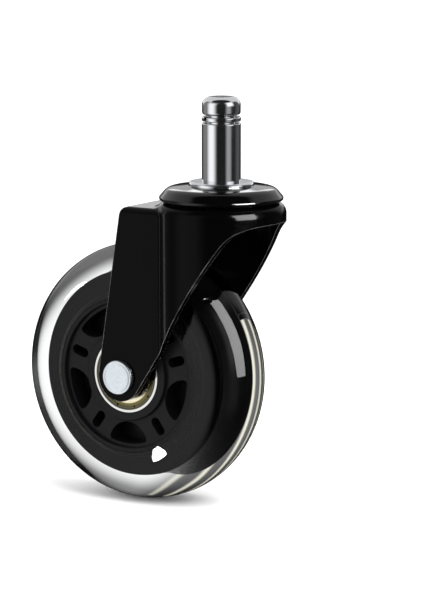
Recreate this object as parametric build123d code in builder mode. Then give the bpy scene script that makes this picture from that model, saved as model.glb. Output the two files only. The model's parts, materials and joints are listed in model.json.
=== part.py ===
"""Swivel caster for an office chair: a clear-tyred 75 mm wheel under a grip-ring stem.

Millimetres, +Z up. The origin is the centre of the seat flange's top face, on the stem's axis.
The wheel trails towards -X and its axle runs along Y. Left is +Y and right is -Y.
"""

from math import asin, degrees, sqrt
import os

from build123d import *

# Driving dimensions
wheel_diameter = 75.0
tyre_width = 23.5
trail = 25.5  # from the stem's axis back to the axle
flange_height = 94.3  # from the floor to the seat flange's top face
fit_gap = 0.05  # radial gap of a running or sliding fit

# Stem
stem_length = 24.0
shank_radius = 5.55
shank_length = 16.6
shank_edge = 0.4
groove_radius = 4.0
groove_length = 2.2
head_radius = 5.5
head_corner = 2.4
head_foot = 1.0
flange_radius = 9.35
flange_thickness = 1.1
flange_bevel = 0.8
spigot_radius = 5.0
tail_radius = 4.0
tail_flare_radius = 5.6
tail_flare_thickness = 1.2
tail_flare_edge = 0.5

# Split friction ring, closed to the shank's diameter as it is inside a socket
friction_ring_width = 1.3
friction_ring_thickness = 1.3
friction_ring_gap = 1.4
friction_ring_gap_angle = -115.0
friction_ring_edge = 0.4

# Swivel bearing
sheet = 2.0
cup_top = -5.9
race_gap = 1.8
swivel_ball_radius = 1.5
swivel_groove_radius = 1.54
upper_pitch_radius = 12.0
upper_ball_count = 20
upper_race_radius = 14.2
upper_race_shoulder = 1.2
lower_pitch_radius = 9.5
lower_ball_count = 16
lower_race_radius = 12.2
lower_race_thickness = 1.4
race_edge = 0.4

# Dust cap
cap_wall = 0.8
cap_radius = 17.65
cap_dome_drop = 0.6
cap_crown_radius = 15.4
cap_crown_curve = 3.5
cap_rim_drop = 3.3
cap_rim_curve = 0.5
cap_rim_height = 0.7
cap_lip_radius = 16.9
cap_lip_clearance = 0.3

# Fork
cup_radius = 18.55
cup_shoulder = 3.0
leg_outer = 14.4
leg_shoulder = 2.6
waist_radius = 2.4
plate_top = -7.6
leg_end_radius = 7.1
plate_back = 25.0
plate_back_corner = 1.5
blend_back = 22.0
front_edge_reach = 13.0
skirt_drop = 5.0
front_edge_curve = 12.0
swivel_hole_radius = 7.0

# Axle
rivet_radius = 3.0
rivet_head_radius = 4.95
rivet_head_thickness = 1.3
rivet_head_edge = 0.35
rivet_tail_radius = 4.5
rivet_tail_thickness = 1.5
rivet_tail_edge = 0.9
spacer_collar_radius = 5.0
washer_radius = 6.0

# Wheel bearings, size 608
bearing_bore_radius = 4.0
bearing_radius = 11.0
bearing_width = 7.0
bearing_face = 11.0  # from the wheel's middle plane to a bearing's outer face
bearing_ball_radius = 1.984
bearing_groove_radius = 2.03
bearing_pitch_radius = 7.5
bearing_ball_count = 7
inner_ring_radius = 6.05
outer_ring_bore_radius = 9.05
shield_seat_radius = 9.6
shield_seat_depth = 0.95
shield_bore_radius = 6.35
shield_inset = 0.3
shield_thickness = 0.35
shield_rim_width = 0.55
shield_rim_height = 0.2
shield_notch_count = 10
shield_notch_width = 0.5
cage_bore_radius = 6.7
cage_radius = 8.3
cage_back = 2.5
cage_front = 0.6
cage_pocket_radius = 2.05
ring_edge = 0.3

# Wheel hub
hub_shoulder_radius = 8.5
boss_radius = 13.3
hub_face = 11.0
spoke_face = 9.8
rim_lip_radius = 21.2
opening_radius = 22.6
core_side_radius = 24.2
core_side_face = 9.6
core_flange_radius = 29.8
core_flange_half_width = 6.5
core_side_round = 0.8
core_flange_root = 1.4
core_flange_edge = 0.8
web_half_thickness = 3.0
pocket_count = 5
pocket_first_angle = -90.0
pocket_curve_radius = 6.5
pocket_outer_radius = 20.2
pocket_corner = 1.0
slot_first_angle = -54.0
slot_inner_radius = 14.6
slot_width = 2.8

# Tyre
crown_drop = 8.4
tyre_lip_face = 11.25

# Heights and places that follow from them
wheel_radius = wheel_diameter / 2
axle_height = wheel_radius - flange_height
cup_bottom = cup_top - sheet
upper_ball_height = cup_top + race_gap / 2
lower_ball_height = cup_bottom - race_gap / 2
upper_race_top = -flange_thickness - cap_wall
upper_race_bottom = cup_top + race_gap
lower_race_top = cup_bottom - race_gap
lower_race_bottom = lower_race_top - lower_race_thickness
head_bottom = shank_length + groove_length
leg_inner = leg_outer - sheet
bearing_centre = bearing_face - bearing_width / 2
bearing_inner_face = bearing_face - bearing_width
sides = (("left", 1), ("right", -1))

# A turned piece is drawn on a plane whose X runs outwards and whose Y is its own axis
stem_plane = Plane.XZ
axle_plane = Plane(origin=(-trail, 0, axle_height))

os.makedirs("parts", exist_ok=True)


def round_corners(sketch, corners):
    """Round each corner that is given as (x, y, rounding); the others stay sharp."""
    for x, y, rounding in [corner for corner in corners if len(corner) == 3]:
        fillet(sketch.vertices().sort_by_distance((x, y, 0))[0], rounding)


def turned(plane, corners):
    """Revolve a closed half-section; a corner is (radius, place along the axis[, rounding])."""
    with BuildSketch(plane) as section:
        with BuildLine():
            Polyline(*[corner[:2] for corner in corners], close=True)
        make_face()
        round_corners(section, corners)
    revolve(section.sketch, axis=Axis(plane.origin, plane.y_dir))


def ball_groove(plane, pitch_radius, place, groove_radius):
    """Cut the round track of a ball row."""
    with BuildSketch(plane) as section:
        with Locations((pitch_radius, place)):
            Circle(groove_radius)
    revolve(section.sketch, axis=Axis(plane.origin, plane.y_dir), mode=Mode.SUBTRACT)


def across_axle(place):
    """Plane square to the axle; X stays forward and its normal points to the right."""
    return Plane(origin=(-trail, place, axle_height), x_dir=(1, 0, 0), z_dir=(0, -1, 0))


def save(builder, name):
    """Label a finished piece and write it to its own file."""
    builder.part.label = name
    export_step(builder.part, f"parts/{name}.step")


# ---------------------------------------------------------------- swivel head

with BuildPart() as stem:
    turned(
        stem_plane,
        [
            (0, stem_length),
            (head_radius, stem_length, head_corner),
            (head_radius, head_bottom, head_foot),
            (groove_radius, head_bottom),
            (groove_radius, shank_length),
            (shank_radius, shank_length, shank_edge),
            (shank_radius, 0),
            (flange_radius, 0, flange_bevel),
            (flange_radius, -flange_thickness),
            (spigot_radius, -flange_thickness),
            (spigot_radius, lower_race_top),
            (tail_radius, lower_race_top),
            (tail_radius, lower_race_bottom),
            (tail_flare_radius, lower_race_bottom),
            (tail_flare_radius, lower_race_bottom - tail_flare_thickness, tail_flare_edge),
            (0, lower_race_bottom - tail_flare_thickness),
        ],
    )
save(stem, "stem")

with BuildPart() as friction_ring:
    ring_middle = shank_length + groove_length / 2
    ring_bore = shank_radius - friction_ring_thickness
    turned(
        stem_plane,
        [
            (ring_bore, ring_middle - friction_ring_width / 2),
            (shank_radius, ring_middle - friction_ring_width / 2, friction_ring_edge),
            (shank_radius, ring_middle + friction_ring_width / 2, friction_ring_edge),
            (ring_bore, ring_middle + friction_ring_width / 2),
        ],
    )
    with BuildSketch(Plane.XY.rotated((0, 0, friction_ring_gap_angle)).offset(shank_length)):
        Rectangle(2 * shank_radius, friction_ring_gap, align=(Align.MIN, Align.CENTER))
    extrude(amount=groove_length, mode=Mode.SUBTRACT)
save(friction_ring, "friction_ring")

with BuildPart() as dust_cap:
    cap_top = -flange_thickness
    cap_lip = cup_top + cap_lip_clearance
    cap_corners = [
        (-cap_radius, cap_top),
        (flange_radius, cap_top),
        (cap_crown_radius, cap_top - cap_dome_drop, cap_crown_curve),
        (cap_radius, cap_top - cap_rim_drop, cap_rim_curve),
        (cap_radius, cap_top - cap_rim_drop - cap_rim_height, cap_rim_curve),
        (cap_lip_radius, cap_lip),
        (cap_lip_radius, cap_lip - cap_radius),
        (-cap_radius, cap_lip - cap_radius),
    ]
    with BuildSketch(stem_plane) as cap_section:
        with BuildLine():
            Polyline(*[corner[:2] for corner in cap_corners], close=True)
        make_face()
        round_corners(cap_section, cap_corners)
        offset(amount=-cap_wall, mode=Mode.SUBTRACT)
        with Locations((spigot_radius + fit_gap, cap_lip)):
            Rectangle(cap_radius, cap_radius, align=(Align.MIN, Align.MIN), mode=Mode.INTERSECT)
    revolve(axis=Axis.Z)
save(dust_cap, "dust_cap")

with BuildPart() as upper_race:
    turned(
        stem_plane,
        [
            (spigot_radius + fit_gap, upper_race_top),
            (flange_radius - race_edge, upper_race_top),
            (upper_race_radius, upper_race_top - cap_dome_drop, upper_race_shoulder),
            (upper_race_radius, upper_race_bottom, race_edge),
            (spigot_radius + fit_gap, upper_race_bottom),
        ],
    )
    ball_groove(stem_plane, upper_pitch_radius, upper_ball_height, swivel_groove_radius)
save(upper_race, "upper_race")

with BuildPart() as lower_race:
    turned(
        stem_plane,
        [
            (tail_radius + fit_gap, lower_race_top),
            (lower_race_radius, lower_race_top, race_edge),
            (lower_race_radius, lower_race_bottom, race_edge),
            (tail_radius + fit_gap, lower_race_bottom),
        ],
    )
    ball_groove(stem_plane, lower_pitch_radius, lower_ball_height, swivel_groove_radius)
save(lower_race, "lower_race")

with BuildPart(Plane.XY.offset(upper_ball_height)) as upper_balls:
    with PolarLocations(upper_pitch_radius, upper_ball_count):
        Sphere(swivel_ball_radius)
save(upper_balls, "upper_balls")

with BuildPart(Plane.XY.offset(lower_ball_height)) as lower_balls:
    with PolarLocations(lower_pitch_radius, lower_ball_count):
        Sphere(swivel_ball_radius)
save(lower_balls, "lower_balls")

# ---------------------------------------------------------------- fork


def cup(inset):
    """The round bell under the swivel, `inset` inside its outer skin."""
    with BuildPart(Plane.XY.offset(cup_top - inset)) as bell:
        Cylinder(cup_radius - inset, flange_height, align=(Align.CENTER, Align.CENTER, Align.MAX))
        fillet(bell.edges().sort_by(Axis.Z)[-1], cup_shoulder - inset)
    return bell.part


def outside():
    """The whole outer skin: a flat-topped box behind, blended into the bell."""
    bell = cup(0)
    with BuildPart() as skin:
        with Locations((0, 0, plate_top)):
            Box(2 * trail, 2 * leg_outer, flange_height, align=(Align.MAX, Align.CENTER, Align.MAX))
        fillet(skin.edges().filter_by(Axis.X).group_by(Axis.Z)[-1], leg_shoulder)
        add(bell)
        seam = skin.edges(Select.NEW).filter_by_position(Axis.Z, axle_height, cup_top)
        fillet(seam, waist_radius)
    return skin.part


def hollow():
    """The room between the legs, which leaves the sheet's thickness under the outer skin."""
    with BuildPart() as room:
        with BuildSketch(Plane.XY.offset(plate_top - sheet)) as plan:
            Circle(cup_radius - sheet)
            Rectangle(2 * trail, 2 * (leg_outer - sheet), align=(Align.MAX, Align.CENTER))
            waist = plan.vertices().filter_by_position(Axis.X, 1 - 2 * trail, -1)
            fillet(waist, waist_radius + sheet)
        extrude(amount=-flange_height)
    return room.part


def leg_tangent(corner, way):
    """Where a straight edge from a corner of the leg meets its round end; way is 1 in front."""
    to_axle = Vector(-trail, axle_height) - Vector(corner)
    turn = way * degrees(asin(leg_end_radius / to_axle.length))
    reach = sqrt(to_axle.length**2 - leg_end_radius**2)
    return Vector(corner) + to_axle.normalized().rotate(Axis.Z, turn) * reach


with BuildPart() as fork:
    back_corner = (-plate_back, plate_top)
    front_corner = (front_edge_reach, cup_top - skirt_drop)
    add(outside())
    add(hollow(), mode=Mode.SUBTRACT)
    add(cup(sheet), mode=Mode.SUBTRACT)
    with BuildSketch(Plane.XZ) as leg_outline:
        with BuildLine():
            back_edge = Line(back_corner, leg_tangent(back_corner, -1))
            front_edge = Line(front_corner, leg_tangent(front_corner, 1))
            TangentArc(front_edge @ 1, back_edge @ 1, tangent=front_edge % 1)
            Polyline(
                back_corner,
                (-blend_back, plate_top),
                (-blend_back, cup_top),
                (2 * cup_radius, cup_top),
                (2 * cup_radius, cup_top - skirt_drop),
                front_corner,
            )
        make_face()
        round_corners(
            leg_outline,
            [(*front_corner, front_edge_curve), (*back_corner, plate_back_corner)],
        )
    extrude(amount=cup_radius, both=True, mode=Mode.INTERSECT)
    with Locations((0, 0, cup_top)):
        Cylinder(swivel_hole_radius, 2 * sheet, mode=Mode.SUBTRACT)
    with Locations((-trail, 0, axle_height)):
        Cylinder(rivet_radius + fit_gap, 4 * leg_outer, rotation=(90, 0, 0), mode=Mode.SUBTRACT)
    ball_groove(stem_plane, upper_pitch_radius, upper_ball_height, swivel_groove_radius)
    ball_groove(stem_plane, lower_pitch_radius, lower_ball_height, swivel_groove_radius)
save(fork, "fork")

# ---------------------------------------------------------------- axle

with BuildPart() as axle_rivet:
    turned(
        axle_plane,
        [
            (0, -leg_outer - rivet_head_thickness),
            (rivet_head_radius, -leg_outer - rivet_head_thickness, rivet_head_edge),
            (rivet_head_radius, -leg_outer),
            (rivet_radius, -leg_outer),
            (rivet_radius, leg_outer),
            (rivet_tail_radius, leg_outer),
            (rivet_tail_radius, leg_outer + rivet_tail_thickness, rivet_tail_edge),
            (0, leg_outer + rivet_tail_thickness),
        ],
    )
save(axle_rivet, "axle_rivet")

with BuildPart() as bearing_spacer:
    spacer_bore = rivet_radius + fit_gap
    spacer_sleeve = bearing_bore_radius - fit_gap
    turned(
        axle_plane,
        [
            (spacer_bore, -leg_inner),
            (spacer_sleeve, -leg_inner),
            (spacer_sleeve, -bearing_inner_face),
            (spacer_collar_radius, -bearing_inner_face),
            (spacer_collar_radius, bearing_inner_face),
            (spacer_sleeve, bearing_inner_face),
            (spacer_sleeve, leg_inner),
            (spacer_bore, leg_inner),
        ],
    )
save(bearing_spacer, "bearing_spacer")

for side, way in sides:
    with BuildPart() as side_washer:
        turned(
            axle_plane,
            [
                (bearing_bore_radius + fit_gap, way * bearing_face),
                (washer_radius, way * bearing_face),
                (washer_radius, way * leg_inner, ring_edge),
                (bearing_bore_radius + fit_gap, way * leg_inner),
            ],
        )
    save(side_washer, f"side_washer_{side}")

# ---------------------------------------------------------------- wheel bearings


def bearing_shield(way, inside):
    """One pressed shield; `inside` points from the shield's outer face into the bearing."""
    face = way * bearing_centre - inside * (bearing_width / 2 - shield_inset)
    back = face + inside * shield_thickness
    rim = face - inside * shield_rim_height
    shield_radius = shield_seat_radius - fit_gap
    with BuildPart() as shield:
        turned(
            axle_plane,
            [
                (shield_bore_radius, back),
                (shield_bore_radius, face),
                (shield_radius - shield_rim_width, face),
                (shield_radius - shield_rim_width, rim),
                (shield_radius, rim),
                (shield_radius, back),
            ],
        )
        with BuildSketch(across_axle(face)):
            with PolarLocations(shield_radius, shield_notch_count):
                Rectangle(2 * shield_rim_width, shield_notch_width)
        extrude(amount=bearing_width / 2 - shield_inset, both=True, mode=Mode.SUBTRACT)
    return shield


for side, way in sides:
    centre = way * bearing_centre
    half_width = bearing_width / 2
    seat_start = half_width - shield_seat_depth

    with BuildPart() as outer_ring:
        turned(
            axle_plane,
            [
                (outer_ring_bore_radius, centre - seat_start),
                (shield_seat_radius, centre - seat_start),
                (shield_seat_radius, centre - half_width),
                (bearing_radius, centre - half_width, ring_edge),
                (bearing_radius, centre + half_width, ring_edge),
                (shield_seat_radius, centre + half_width),
                (shield_seat_radius, centre + seat_start),
                (outer_ring_bore_radius, centre + seat_start),
            ],
        )
        ball_groove(axle_plane, bearing_pitch_radius, centre, bearing_groove_radius)
    save(outer_ring, f"bearing_outer_ring_{side}")

    with BuildPart() as inner_ring:
        turned(
            axle_plane,
            [
                (bearing_bore_radius, centre - half_width),
                (inner_ring_radius, centre - half_width, ring_edge),
                (inner_ring_radius, centre + half_width, ring_edge),
                (bearing_bore_radius, centre + half_width),
            ],
        )
        ball_groove(axle_plane, bearing_pitch_radius, centre, bearing_groove_radius)
    save(inner_ring, f"bearing_inner_ring_{side}")

    with BuildPart(across_axle(centre)) as bearing_balls:
        with PolarLocations(bearing_pitch_radius, bearing_ball_count):
            Sphere(bearing_ball_radius)
    save(bearing_balls, f"bearing_balls_{side}")

    with BuildPart(across_axle(centre)) as bearing_cage:
        turned(
            axle_plane,
            [
                (cage_bore_radius, centre - way * cage_front),
                (cage_radius, centre - way * cage_front),
                (cage_radius, centre + way * cage_back),
                (cage_bore_radius, centre + way * cage_back),
            ],
        )
        with PolarLocations(bearing_pitch_radius, bearing_ball_count):
            Sphere(cage_pocket_radius, mode=Mode.SUBTRACT)
    save(bearing_cage, f"bearing_cage_{side}")

    save(bearing_shield(way, -way), f"outer_shield_{side}")
    save(bearing_shield(way, way), f"inner_shield_{side}")

# ---------------------------------------------------------------- wheel

# The bond line between core and tyre, from the left opening edge round to the right one
bond_line = [
    (opening_radius, hub_face),
    (core_side_radius, core_side_face, core_side_round),
    (core_side_radius, core_flange_half_width, core_flange_root),
    (core_flange_radius, core_flange_half_width, core_flange_edge),
    (core_flange_radius, -core_flange_half_width, core_flange_edge),
    (core_side_radius, -core_flange_half_width, core_flange_root),
    (core_side_radius, -core_side_face, core_side_round),
    (opening_radius, -hub_face),
]

with BuildPart() as wheel_hub:
    turned(
        axle_plane,
        [
            (hub_shoulder_radius, bearing_inner_face),
            (bearing_radius + fit_gap, bearing_inner_face),
            (bearing_radius + fit_gap, hub_face),
            (boss_radius, hub_face, ring_edge),
            (boss_radius, spoke_face),
            (rim_lip_radius, spoke_face),
            (rim_lip_radius, hub_face, ring_edge),
            *bond_line,
            (rim_lip_radius, -hub_face, ring_edge),
            (rim_lip_radius, -spoke_face),
            (boss_radius, -spoke_face),
            (boss_radius, -hub_face, ring_edge),
            (bearing_radius + fit_gap, -hub_face),
            (bearing_radius + fit_gap, -bearing_inner_face),
            (hub_shoulder_radius, -bearing_inner_face),
        ],
    )
    for side, way in sides:
        with BuildSketch(across_axle(way * web_half_thickness)) as pockets:
            with PolarLocations(pocket_outer_radius, pocket_count, pocket_first_angle):
                Circle(pocket_curve_radius)
            Circle(pocket_outer_radius, mode=Mode.INTERSECT)
            fillet(pockets.vertices(), pocket_corner)
            slot_length = pocket_outer_radius - slot_inner_radius - slot_width / 2
            slot_middle = (pocket_outer_radius + slot_inner_radius) / 2
            with PolarLocations(slot_middle, pocket_count, slot_first_angle):
                SlotCenterToCenter(slot_length - slot_width / 2, slot_width)
        extrude(amount=-way * tyre_width, mode=Mode.SUBTRACT)
save(wheel_hub, "wheel_hub")

with BuildPart() as tyre:
    with BuildSketch(axle_plane) as tyre_section:
        with BuildLine():
            crown = EllipticalCenterArc(
                (wheel_radius - crown_drop, 0), crown_drop, tyre_width / 2, -90, arc_size=180
            )
            left_side = TangentArc(crown @ 1, (opening_radius, tyre_lip_face), tangent=(-1, 0))
            bond_corners = [corner[:2] for corner in bond_line]
            Polyline(left_side @ 1, *bond_corners, (opening_radius, -tyre_lip_face))
            TangentArc(crown @ 0, (opening_radius, -tyre_lip_face), tangent=(-1, 0))
        make_face()
        round_corners(tyre_section, bond_line)
    revolve(axis=Axis(axle_plane.origin, axle_plane.y_dir))
save(tyre, "tyre")
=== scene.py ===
"""Looks of the office chair caster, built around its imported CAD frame.

Metres, +Z up. The stem's axis is Z through the origin, the wheel trails towards -X and its axle
runs along Y. Camera, lights and floor come first, then one section for each kind of material, then
the pieces that stand for CAD nodes.
"""

import json
import math

import bmesh
import bpy
from mathutils import Matrix, Quaternion, Vector


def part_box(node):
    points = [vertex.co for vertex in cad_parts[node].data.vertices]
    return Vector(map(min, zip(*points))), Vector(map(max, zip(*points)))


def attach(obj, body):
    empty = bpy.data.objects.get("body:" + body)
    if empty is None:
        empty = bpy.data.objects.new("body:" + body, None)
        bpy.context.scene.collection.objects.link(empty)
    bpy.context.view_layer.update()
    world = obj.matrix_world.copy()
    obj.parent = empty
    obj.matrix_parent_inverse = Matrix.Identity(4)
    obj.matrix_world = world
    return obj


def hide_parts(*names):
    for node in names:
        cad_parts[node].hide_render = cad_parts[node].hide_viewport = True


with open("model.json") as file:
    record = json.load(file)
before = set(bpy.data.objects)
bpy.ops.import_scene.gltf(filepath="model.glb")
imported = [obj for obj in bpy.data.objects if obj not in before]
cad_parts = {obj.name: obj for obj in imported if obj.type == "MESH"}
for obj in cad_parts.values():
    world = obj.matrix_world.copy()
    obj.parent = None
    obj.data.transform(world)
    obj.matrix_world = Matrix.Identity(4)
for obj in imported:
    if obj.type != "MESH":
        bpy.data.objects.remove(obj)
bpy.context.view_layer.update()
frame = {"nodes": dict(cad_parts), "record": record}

MM = 0.001
joints = {joint["name"]: joint for joint in frame["record"]["behaviour"]["joints"]}
AXLE = Vector(joints["wheel_spin"]["pos_m"])
TYRE_LOW, TYRE_HIGH = (Vector(corner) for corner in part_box("tyre"))
FLOOR_HEIGHT = TYRE_LOW.z

# ------------------------------------------------------------------ camera, light and floor

CAMERA_AZIMUTH = 32.2
CAMERA_ELEVATION = 9.3
CAMERA_DISTANCE = 0.900
CAMERA_LENS = 189.13
CAMERA_TARGET = Vector((-0.00311, 0.0, FLOOR_HEIGHT + 0.05987))

# What gloss sees round the caster: soft panels in a dark studio, with azimuths from the camera's
# (azimuth, elevation, half width, half height, edge softness, radiance; angles in degrees)
ROOM_GLOW = 0.015
PANELS = [
    (-62, -5, 24, 42, 16, 1.35),
    (-112, -5, 20, 42, 18, 0.26),
    (-160, -5, 16, 30, 16, 0.04),
    (44, -9, 15, 22, 10, 0.40),
    (112, -5, 18, 40, 16, 0.10),
    (56, 24, 20, 20, 10, 1.6),
    (180, 12, 42, 5, 2, 0.9),
    (180, 50, 50, 32, 6, 0.8),
]

# Share of the panels' light that shows in a perfectly smooth skin, which only the tyre has
TYRE_PANEL_SHARE = 0.30

# What the clear tyre shows of the studio: a white backdrop that darkens to the sides, most of all
# to the left, with a few thin strips there that run as streaks along the tread
GLASS_OUTER = math.cos(math.radians(54))
GLASS_INNER = math.cos(math.radians(22))
GLASS_DARK = 0.11
GLASS_BRIGHT = 1.15
GLASS_LEFT_START = 0.03
GLASS_LEFT_END = -0.16
GLASS_LEFT = 0.16
GLASS_LOW_START = -0.05
GLASS_LOW_END = -0.32
GLASS_LOW = 0.14
GLASS_HIGH_START = 0.04
GLASS_HIGH_END = 0.45
GLASS_HIGH = 0.30
STREAKS = [
    (-174, -8, 0.9, 30, 0.8, 0.5),
    (-166, -8, 1.2, 32, 1.0, 0.8),
    (-157, -8, 1.4, 34, 1.2, 0.9),
    (-147, -8, 1.8, 38, 1.4, 0.9),
    (-134, -8, 2.2, 40, 1.8, 0.8),
]
STREAK_TINT = (1.0, 0.97, 0.80, 1)

# The bright sheet that the camera and matte surfaces see, and the lamps, all aimed at one point
# (name, azimuth from the camera's, elevation, width, height, radiance, roll; degrees and metres)
SHEET_STRENGTH = 1.2
LIT_POINT = Vector((0.0, 0.0, FLOOR_HEIGHT + 0.06))
LAMP_DISTANCE = 0.9
LAMPS = [
    ("left_softbox", -60, 5, 0.80, 1.20, 1.3, 0),
    ("right_softbox", 43, 60, 1.00, 1.00, 3, 0),
    ("tyre_strip", 66, 24, 0.47, 1.04, 5, 0),
    ("enamel_strip", 46, 23, 0.62, 0.80, 70, 0),
    ("bend_strip", -121, -9, 0.07, 1.0, 2, 0),
    ("cap_strip", 180, 24, 0.50, 0.20, 2.5, 0),
    ("deck_strip", 180, 9, 0.60, 0.14, 1.0, 0),
    ("window", -70.9, -5.5, 0.029, 0.14, 35, 32),
]

FLOOR_HALF = 2.0
CLIP_START = 0.01


def direction(azimuth, elevation):
    """Unit vector towards a place seen at that azimuth and elevation; azimuth 0 is the right side."""
    around, up = math.radians(azimuth), math.radians(elevation)
    return Vector(
        (math.sin(around) * math.cos(up), -math.cos(around) * math.cos(up), math.sin(up))
    )


def aim(thing, place, target):
    """Put a camera or lamp somewhere and point it at its target."""
    thing.location = place
    thing.rotation_mode = "QUATERNION"
    thing.rotation_quaternion = (target - place).to_track_quat("-Z", "Y")


def add_camera():
    data = bpy.data.cameras.new("camera")
    data.lens = CAMERA_LENS
    data.clip_start = CLIP_START
    camera = bpy.data.objects.new("camera", data)
    bpy.context.scene.collection.objects.link(camera)
    away = direction(CAMERA_AZIMUTH, CAMERA_ELEVATION)
    aim(camera, CAMERA_TARGET + CAMERA_DISTANCE * away, CAMERA_TARGET)
    bpy.context.scene.camera = camera


def add_softbox(name, azimuth, elevation, width, height, radiance, roll):
    """A rectangular lamp facing the caster."""
    data = bpy.data.lights.new(name, "AREA")
    data.shape = "RECTANGLE"
    data.size = width
    data.size_y = height
    data.energy = radiance * math.pi * width * height
    lamp = bpy.data.objects.new(name, data)
    bpy.context.scene.collection.objects.link(lamp)
    place = LIT_POINT + LAMP_DISTANCE * direction(CAMERA_AZIMUTH + azimuth, elevation)
    aim(lamp, place, LIT_POINT)
    turn = Quaternion((0, 0, 1), math.radians(roll))
    lamp.rotation_quaternion = lamp.rotation_quaternion @ turn
    return lamp


def light_matte_only(lamp):
    """Leave a lamp out of everything seen by reflection or through glass."""
    lamp.visible_glossy = False
    lamp.visible_transmission = False


def light_gloss_only(lamp, *nodes):
    """Show a lamp only as a reflection in these pieces."""
    lamp.visible_diffuse = False
    lamp.visible_transmission = False
    lit = bpy.data.collections.new(lamp.name + "_reflections")
    for node in nodes:
        lit.objects.link(node)
    lamp.light_linking.receiver_collection = lit


def math_node(tree, operation, *values):
    """A Math node fed by sockets or numbers."""
    node = tree.nodes.new("ShaderNodeMath")
    node.operation = operation
    for socket, value in zip(node.inputs, values):
        if isinstance(value, bpy.types.NodeSocket):
            tree.links.new(value, socket)
        else:
            socket.default_value = value
    return node.outputs["Value"]


def facing(tree, towards, axis):
    """Cosine between the ray and an axis."""
    node = tree.nodes.new("ShaderNodeVectorMath")
    node.operation = "DOT_PRODUCT"
    node.inputs[1].default_value = axis
    tree.links.new(towards, node.inputs[0])
    return node.outputs["Value"]


def panel_window(tree, towards, azimuth, elevation, half_width, half_height, edge):
    """1 inside a soft-edged panel as seen from the caster, 0 outside."""
    ahead = direction(CAMERA_AZIMUTH + azimuth, elevation)
    across = ahead.cross(Vector((0, 0, 1))).normalized()
    window = math_node(tree, "GREATER_THAN", facing(tree, towards, ahead), 0.0)
    for axis, half in ((across, half_width), (across.cross(ahead), half_height)):
        off = math_node(tree, "ABSOLUTE", facing(tree, towards, axis))
        inner, outer = math.sin(math.radians(half - edge)), math.sin(math.radians(half + edge))
        within = remap(tree, off, inner, outer, 1.0, 0.0, smooth=True)
        window = math_node(tree, "MULTIPLY", window, within)
    return window


def glow_sheet(tree, color, strength):
    """A Background shader of one colour whose strength varies with the direction."""
    sheet = tree.nodes.new("ShaderNodeBackground")
    sheet.inputs["Color"].default_value = color
    tree.links.new(strength, sheet.inputs["Strength"])
    return sheet.outputs["Background"]


def add_world():
    """White to the camera and to matte surfaces; gloss sees the panels and glass the backdrop."""
    world = bpy.data.worlds.new("studio")
    bpy.context.scene.world = world
    world.use_nodes = True
    tree = world.node_tree
    towards = tree.nodes.new("ShaderNodeTexCoord").outputs["Generated"]

    path = tree.nodes.new("ShaderNodeLightPath")
    gloss_light = None
    for *place, radiance in PANELS:
        window = panel_window(tree, towards, *place)
        gloss_light = math_node(tree, "MULTIPLY_ADD", window, radiance, gloss_light or ROOM_GLOW)

    view = -direction(CAMERA_AZIMUTH, CAMERA_ELEVATION)
    behind = math_node(tree, "ABSOLUTE", facing(tree, towards, view))
    lobe = remap(tree, behind, GLASS_OUTER, GLASS_INNER, GLASS_DARK, GLASS_BRIGHT, smooth=True)
    across = view.cross(Vector((0, 0, 1))).normalized()
    sideways = facing(tree, towards, across)
    side = remap(tree, sideways, GLASS_LEFT_END, GLASS_LEFT_START, GLASS_LEFT, 1.0, smooth=True)
    upwards = facing(tree, towards, across.cross(view))
    low = remap(tree, upwards, GLASS_LOW_END, GLASS_LOW_START, GLASS_LOW, 1.0, smooth=True)
    high = remap(tree, upwards, GLASS_HIGH_START, GLASS_HIGH_END, 1.0, GLASS_HIGH, smooth=True)
    glass_light = lobe
    for share in (side, low, high):
        glass_light = math_node(tree, "MULTIPLY", glass_light, share)
    streaks = 0.0
    for *place, radiance in STREAKS:
        window = panel_window(tree, towards, *place)
        streaks = math_node(tree, "MULTIPLY_ADD", window, radiance, streaks)

    through_glass = tree.nodes.new("ShaderNodeAddShader")
    tree.links.new(glow_sheet(tree, (1, 1, 1, 1), glass_light), through_glass.inputs[0])
    tree.links.new(glow_sheet(tree, STREAK_TINT, streaks), through_glass.inputs[1])
    sharp_share = remap(tree, path.outputs["Is Singular Ray"], 0.0, 1.0, 1.0, TYRE_PANEL_SHARE)
    in_gloss = glow_sheet(tree, (1, 1, 1, 1), math_node(tree, "MULTIPLY", gloss_light, sharp_share))

    backdrop = tree.nodes["Background"]
    backdrop.inputs["Color"].default_value = (1, 1, 1, 1)
    backdrop.inputs["Strength"].default_value = SHEET_STRENGTH
    shown = backdrop.outputs["Background"]
    by_ray = {"Is Glossy Ray": in_gloss, "Is Transmission Ray": through_glass.outputs["Shader"]}
    for ray, seen in by_ray.items():
        mix = tree.nodes.new("ShaderNodeMixShader")
        tree.links.new(path.outputs[ray], mix.inputs["Fac"])
        tree.links.new(shown, mix.inputs[1])
        tree.links.new(seen, mix.inputs[2])
        shown = mix.outputs["Shader"]
    tree.links.new(shown, tree.nodes["World Output"].inputs["Surface"])


def add_floor():
    """A white floor that gloss and glass don't show, so that only the panels and backdrop do."""
    mesh = bpy.data.meshes.new("floor")
    signs = ((-1, -1), (1, -1), (1, 1), (-1, 1))
    corners = [(x * FLOOR_HALF, y * FLOOR_HALF, FLOOR_HEIGHT) for x, y in signs]
    mesh.from_pydata(corners, [], [(0, 1, 2, 3)])
    floor = bpy.data.objects.new("floor", mesh)
    bpy.context.scene.collection.objects.link(floor)
    material = bpy.data.materials.new("floor_white")
    material.use_nodes = True
    shader = material.node_tree.nodes["Principled BSDF"]
    shader.inputs["Base Color"].default_value = (0.975, 0.975, 0.975, 1)
    shader.inputs["Roughness"].default_value = 0.9
    shader.inputs["Specular IOR Level"].default_value = 0.1
    mesh.materials.append(material)
    floor.visible_glossy = False
    floor.visible_transmission = False


# ------------------------------------------------------------------ material helpers


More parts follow.
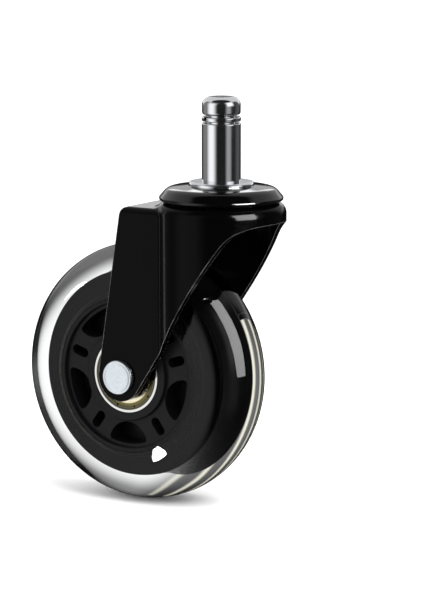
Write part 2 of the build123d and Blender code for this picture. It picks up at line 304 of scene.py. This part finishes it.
def make_material(name, color, roughness, metallic=0.0, **sockets):
    """A Principled material; each further socket is named with underscores for its spaces.

    Colour and roughness are the plain values, which nodes added later vary.
    """
    material = bpy.data.materials.new(name)
    material.use_nodes = True
    shader = material.node_tree.nodes["Principled BSDF"]
    shader.inputs["Base Color"].default_value = (*color, 1)
    shader.inputs["Roughness"].default_value = roughness
    shader.inputs["Metallic"].default_value = metallic
    for socket, value in sockets.items():
        shader.inputs[socket.replace("_", " ")].default_value = value
    return material


def noise(tree, scale, detail):
    """Noise in the part's own frame; scale is in cycles to the metre."""
    texture = tree.nodes.new("ShaderNodeTexNoise")
    texture.inputs["Scale"].default_value = scale
    texture.inputs["Detail"].default_value = detail
    place = tree.nodes.new("ShaderNodeTexCoord").outputs["Object"]
    tree.links.new(place, texture.inputs["Vector"])
    return texture.outputs["Fac"]


def remap(tree, value, from_low, from_high, to_low, to_high, smooth=False):
    """Map a value from one range to another and keep it there."""
    node = tree.nodes.new("ShaderNodeMapRange")
    node.interpolation_type = "SMOOTHSTEP" if smooth else "LINEAR"
    node.inputs["From Min"].default_value = from_low
    node.inputs["From Max"].default_value = from_high
    node.inputs["To Min"].default_value = to_low
    node.inputs["To Max"].default_value = to_high
    tree.links.new(value, node.inputs["Value"])
    return node.outputs["Result"]


def add_bump(material, height, distance):
    """Raise the surface in the shading by up to that distance."""
    tree = material.node_tree
    node = tree.nodes.new("ShaderNodeBump")
    node.inputs["Distance"].default_value = distance
    tree.links.new(height, node.inputs["Height"])
    shader = tree.nodes["Principled BSDF"]
    tree.links.new(node.outputs["Normal"], shader.inputs["Normal"])


def vary_roughness(material, scale, low, high):
    """Let the roughness wander between two values."""
    tree = material.node_tree
    value = remap(tree, noise(tree, scale, 4.0), 0.3, 0.7, low, high)
    tree.links.new(value, tree.nodes["Principled BSDF"].inputs["Roughness"])


def orange_peel(material, scale, distance):
    """A faint uneven skin."""
    add_bump(material, noise(material.node_tree, scale, 2.0), distance)


def round_edges_with_painted_highlight(material, radius, highlight_color):
    """Round the sharp cut edges in the shading and paint a patchy highlight of the given colour along
    them.
    """
    tree = material.node_tree
    shader = tree.nodes["Principled BSDF"]
    edge = tree.nodes.new("ShaderNodeBevel")
    edge.inputs["Radius"].default_value = radius
    tree.links.new(edge.outputs["Normal"], tree.nodes["Bump"].inputs["Normal"])
    along = tree.nodes.new("ShaderNodeVectorMath")
    along.operation = "DOT_PRODUCT"
    tree.links.new(edge.outputs["Normal"], along.inputs[0])
    tree.links.new(tree.nodes.new("ShaderNodeNewGeometry").outputs["Normal"], along.inputs[1])
    # Painted highlight: where the bevelled normal turns away from the face, the base colour goes over
    # to the highlight colour, broken up by noise
    edge_highlight_mask = remap(tree, along.outputs["Value"], 0.97, 0.80, 0.0, 1.0)
    highlight_breakup = remap(tree, noise(tree, 260, 4.0), 0.35, 0.6, 0.35, 1.0)
    mix = tree.nodes.new("ShaderNodeMix")
    mix.data_type = "RGBA"
    mix.inputs["A"].default_value = shader.inputs["Base Color"].default_value
    mix.inputs["B"].default_value = (*highlight_color, 1)
    tree.links.new(math_node(tree, "MULTIPLY", edge_highlight_mask, highlight_breakup), mix.inputs["Factor"])
    tree.links.new(mix.outputs["Result"], shader.inputs["Base Color"])


def turning_marks(material, along, scale, distance):
    """Fine rings left by turning: they vary along the stem or with the distance from the axle."""
    tree = material.node_tree
    if along == "Z":
        part = tree.nodes.new("ShaderNodeSeparateXYZ")
        tree.links.new(tree.nodes.new("ShaderNodeTexCoord").outputs["Object"], part.inputs["Vector"])
        place = part.outputs["Z"]
    else:
        place = radius_from_axle(tree)
    rings = tree.nodes.new("ShaderNodeTexNoise")
    rings.noise_dimensions = "1D"
    rings.inputs["Scale"].default_value = scale
    rings.inputs["Detail"].default_value = 2.0
    tree.links.new(place, rings.inputs["W"])
    add_bump(material, rings.outputs["Fac"], distance)


def radius_from_axle(tree):
    """Distance from the axle's line, in metres."""
    part = tree.nodes.new("ShaderNodeSeparateXYZ")
    tree.links.new(tree.nodes.new("ShaderNodeTexCoord").outputs["Object"], part.inputs["Vector"])
    squares = []
    for name, middle in (("X", AXLE.x), ("Z", AXLE.z)):
        off = math_node(tree, "SUBTRACT", part.outputs[name], middle)
        squares.append(math_node(tree, "MULTIPLY", off, off))
    return math_node(tree, "SQRT", math_node(tree, "ADD", *squares))


def color_by_radius(material, *bands):
    """Colour a turned ring in bands: (radius in mm, colour) pairs, blended between them."""
    tree = material.node_tree
    ramp = tree.nodes.new("ShaderNodeValToRGB")
    reach = bands[-1][0]
    while len(ramp.color_ramp.elements) < len(bands):
        ramp.color_ramp.elements.new(1.0)
    for element, (radius, color) in zip(ramp.color_ramp.elements, bands):
        element.position = radius / reach
        element.color = (*color, 1)
    tree.links.new(math_node(tree, "DIVIDE", radius_from_axle(tree), reach * MM), ramp.inputs["Fac"])
    tree.links.new(ramp.outputs["Color"], tree.nodes["Principled BSDF"].inputs["Base Color"])


def dress(material, *nodes):
    """Give CAD nodes their material."""
    for node in nodes:
        mesh = frame["nodes"][node].data
        mesh.materials.clear()
        mesh.materials.append(material)


# The rivet's head is pressed in a little inside its rim
DISH_START = 3.7 * MM
DISH_END = 4.5 * MM
DISH_DEPTH = 0.12 * MM

add_camera()
add_world()
add_floor()
lamps = {name: add_softbox(name, *values) for name, *values in LAMPS}
lamps["window"].data.shape = "ELLIPSE"
light_matte_only(lamps["left_softbox"])
light_matte_only(lamps["right_softbox"])
bpy.context.scene.view_settings.view_transform = "Standard"

plated = make_material("plated_steel", (0.66, 0.67, 0.69), 0.08, 1.0)
vary_roughness(plated, 900, 0.08, 0.13)
turning_marks(plated, "Z", 9000, 0.0008 * MM)
dress(plated, "stem", "friction_ring")
sleeve = make_material("turned_steel", (0.62, 0.62, 0.63), 0.15, 1.0)
vary_roughness(sleeve, 900, 0.12, 0.2)
dress(sleeve, "bearing_spacer")

enamel = make_material("black_enamel", (0.0008, 0.0008, 0.0009), 0.12, Specular_IOR_Level=0.045)
vary_roughness(enamel, 700, 0.07, 0.15)
orange_peel(enamel, 420, 0.006 * MM)
# Painted highlight: the grey along the fork's cut edges stands in for the light line that these edges
# catch
round_edges_with_painted_highlight(enamel, 0.3 * MM, (0.30, 0.30, 0.31))
dress(enamel, "fork")
gloss = make_material("black_gloss", (0.0008, 0.0008, 0.0009), 0.08, Specular_IOR_Level=0.3)
vary_roughness(gloss, 700, 0.04, 0.09)
orange_peel(gloss, 300, 0.004 * MM)
dress(gloss, "dust_cap")

steel = make_material("bearing_steel", (0.58, 0.58, 0.57), 0.12, 1.0)
vary_roughness(steel, 1200, 0.08, 0.18)
turning_marks(steel, "radius", 7000, 0.001 * MM)
dress(steel, "upper_race", "lower_race", "upper_balls", "lower_balls")
for side in ("left", "right"):
    dress(steel, f"bearing_inner_ring_{side}", f"bearing_balls_{side}")
ring = make_material("bearing_ring", (0.58, 0.58, 0.57), 0.12, 1.0)
vary_roughness(ring, 1200, 0.10, 0.2)
color_by_radius(
    ring,
    (9.0, (0.30, 0.27, 0.18)),
    (9.75, (0.05, 0.045, 0.03)),
    (10.05, (0.06, 0.055, 0.04)),
    (10.2, (0.60, 0.60, 0.585)),
    (11.0, (0.66, 0.66, 0.65)),
)
shield = make_material("shield_steel", (0.50, 0.44, 0.30), 0.22, 1.0)
vary_roughness(shield, 1200, 0.15, 0.3)
turning_marks(shield, "radius", 5000, 0.002 * MM)
color_by_radius(
    shield,
    (6.4, (0.60, 0.56, 0.42)),
    (7.7, (0.74, 0.69, 0.52)),
    (8.1, (0.62, 0.55, 0.33)),
    (8.3, (0.05, 0.045, 0.02)),
    (8.5, (0.14, 0.12, 0.05)),
    (9.1, (0.10, 0.09, 0.04)),
    (9.3, (0.03, 0.03, 0.02)),
    (9.6, (0.20, 0.18, 0.12)),
)
cage = make_material("cage_nylon", (0.40, 0.35, 0.24), 0.5)
vary_roughness(cage, 1500, 0.4, 0.6)
for side in ("left", "right"):
    dress(ring, f"bearing_outer_ring_{side}")
    dress(shield, f"outer_shield_{side}", f"inner_shield_{side}")
    dress(cage, f"bearing_cage_{side}")
zinc = make_material("zinc_plate", (0.60, 0.645, 0.68), 0.33, 1.0)
vary_roughness(zinc, 1200, 0.26, 0.40)
from_axle = radius_from_axle(zinc.node_tree)
dish = remap(zinc.node_tree, from_axle, DISH_START, DISH_END, 0.0, 1.0, smooth=True)
add_bump(zinc, dish, DISH_DEPTH)
dress(zinc, "axle_rivet", "side_washer_left", "side_washer_right")

nylon = make_material("black_nylon", (0.004, 0.004, 0.0046), 0.35, Specular_IOR_Level=0.12)
vary_roughness(nylon, 900, 0.3, 0.45)
orange_peel(nylon, 900, 0.003 * MM)
dress(nylon, "wheel_hub")

# ------------------------------------------------------------------ tyre

# The tyre's section as in its CAD solid: how far the round tread falls to the sides, the opening,
# and the face beside the opening. The core's outline is (radius, place, corner radius) in mm, and
# the clear shape stays the bond's width clear of it.
CROWN_DROP = 8.4 * MM
OPENING_RADIUS = 22.6 * MM
TYRE_LIP_FACE = 11.25 * MM
BOND = 0.25 * MM
CORE = [
    (22.6, 11.0, 0.0),
    (24.2, 9.6, 0.8),
    (24.2, 6.5, 1.4),
    (29.8, 6.5, 0.8),
]
CROWN_STEPS = 64
SIDE_STEPS = 16
CORNER_STEPS = 6
TURN_STEPS = 320
SHARP_ANGLE = math.radians(35)


def rounded(corners):
    """Points along a line whose corners (x, y, radius) are rounded; its ends stay where they are."""
    points = [Vector(corners[0][:2])]
    for before, corner, after in zip(corners, corners[1:], corners[2:]):
        here = Vector(corner[:2])
        back = (Vector(before[:2]) - here).normalized()
        on = (Vector(after[:2]) - here).normalized()
        half_turn = back.angle(on) / 2
        reach = corner[2] / math.tan(half_turn)
        centre = here + (back + on).normalized() * corner[2] / math.sin(half_turn)
        start, end = here + back * reach - centre, here + on * reach - centre
        sweep = start.angle_signed(end)
        for step in range(CORNER_STEPS + 1):
            turned = start.copy()
            turned.rotate(Matrix.Rotation(-sweep * step / CORNER_STEPS, 2))
            points.append(centre + turned)
    points.append(Vector(corners[-1][:2]))
    return points


def lathe(name, outline):
    """Turn a closed outline of (radius, place) points about the axle."""
    along = Vector((0, 1, 0))
    count = len(outline)
    vertices = []
    for turn in range(TURN_STEPS):
        angle = 2 * math.pi * turn / TURN_STEPS
        radial = Vector((math.cos(angle), 0, math.sin(angle)))
        vertices += [AXLE + radial * radius + along * place for radius, place in outline]
    faces = []
    for turn in range(TURN_STEPS):
        here, there = turn * count, (turn + 1) % TURN_STEPS * count
        for point in range(count):
            other = (point + 1) % count
            faces.append((here + point, here + other, there + other, there + point))
    mesh = bpy.data.meshes.new(name)
    mesh.from_pydata(vertices, [], faces)
    shape = bmesh.new()
    shape.from_mesh(mesh)
    bmesh.ops.recalc_face_normals(shape, faces=shape.faces)
    shape.to_mesh(mesh)
    shape.free()
    mesh.shade_smooth()
    mesh.set_sharp_from_angle(angle=SHARP_ANGLE)
    piece = bpy.data.objects.new(name, mesh)
    bpy.context.scene.collection.objects.link(piece)
    return piece


def tyre_outline():
    """The tyre's section: one side, the tread, the other side and the bond, as a closed line."""
    radius = (TYRE_HIGH.x - TYRE_LOW.x) / 2
    half = (TYRE_HIGH.y - TYRE_LOW.y) / 2
    crown = [
        (radius - CROWN_DROP + CROWN_DROP * math.sin(turn), -half * math.cos(turn))
        for turn in (math.pi * step / CROWN_STEPS for step in range(CROWN_STEPS + 1))
    ]
    side = []
    reach = radius - CROWN_DROP - OPENING_RADIUS
    for step in range(1, SIDE_STEPS + 1):
        part = step / SIDE_STEPS
        side.append((radius - CROWN_DROP - reach * part, half - (half - TYRE_LIP_FACE) * part**2))
    core = [(x * MM, y * MM, r * MM) for x, y, r in CORE]
    sunk = [(x - BOND, y - BOND, r) for x, y, r in core]
    mirrored = [(x, -y, r) for x, y, r in reversed(sunk)]
    bond = [tuple(point) for point in rounded(sunk + mirrored)]
    return [(r, -y) for r, y in reversed(side)] + crown + side + bond


tyre = lathe("clear_tyre", tyre_outline())
urethane = make_material(
    "clear_urethane",
    (0.97, 0.975, 0.98),
    0.0,
    Transmission_Weight=1.0,
    IOR=1.22,
    Coat_Weight=1.0,
    Coat_Roughness=0.0,
)
tyre.data.materials.append(urethane)
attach(tyre, "wheel")
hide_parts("tyre")

fork, dust_cap = frame["nodes"]["fork"], frame["nodes"]["dust_cap"]
light_gloss_only(lamps["tyre_strip"], tyre)
light_gloss_only(lamps["window"], tyre)
light_gloss_only(lamps["enamel_strip"], fork, dust_cap)
light_gloss_only(lamps["bend_strip"], fork)
light_gloss_only(lamps["cap_strip"], dust_cap)
light_gloss_only(lamps["deck_strip"], fork)
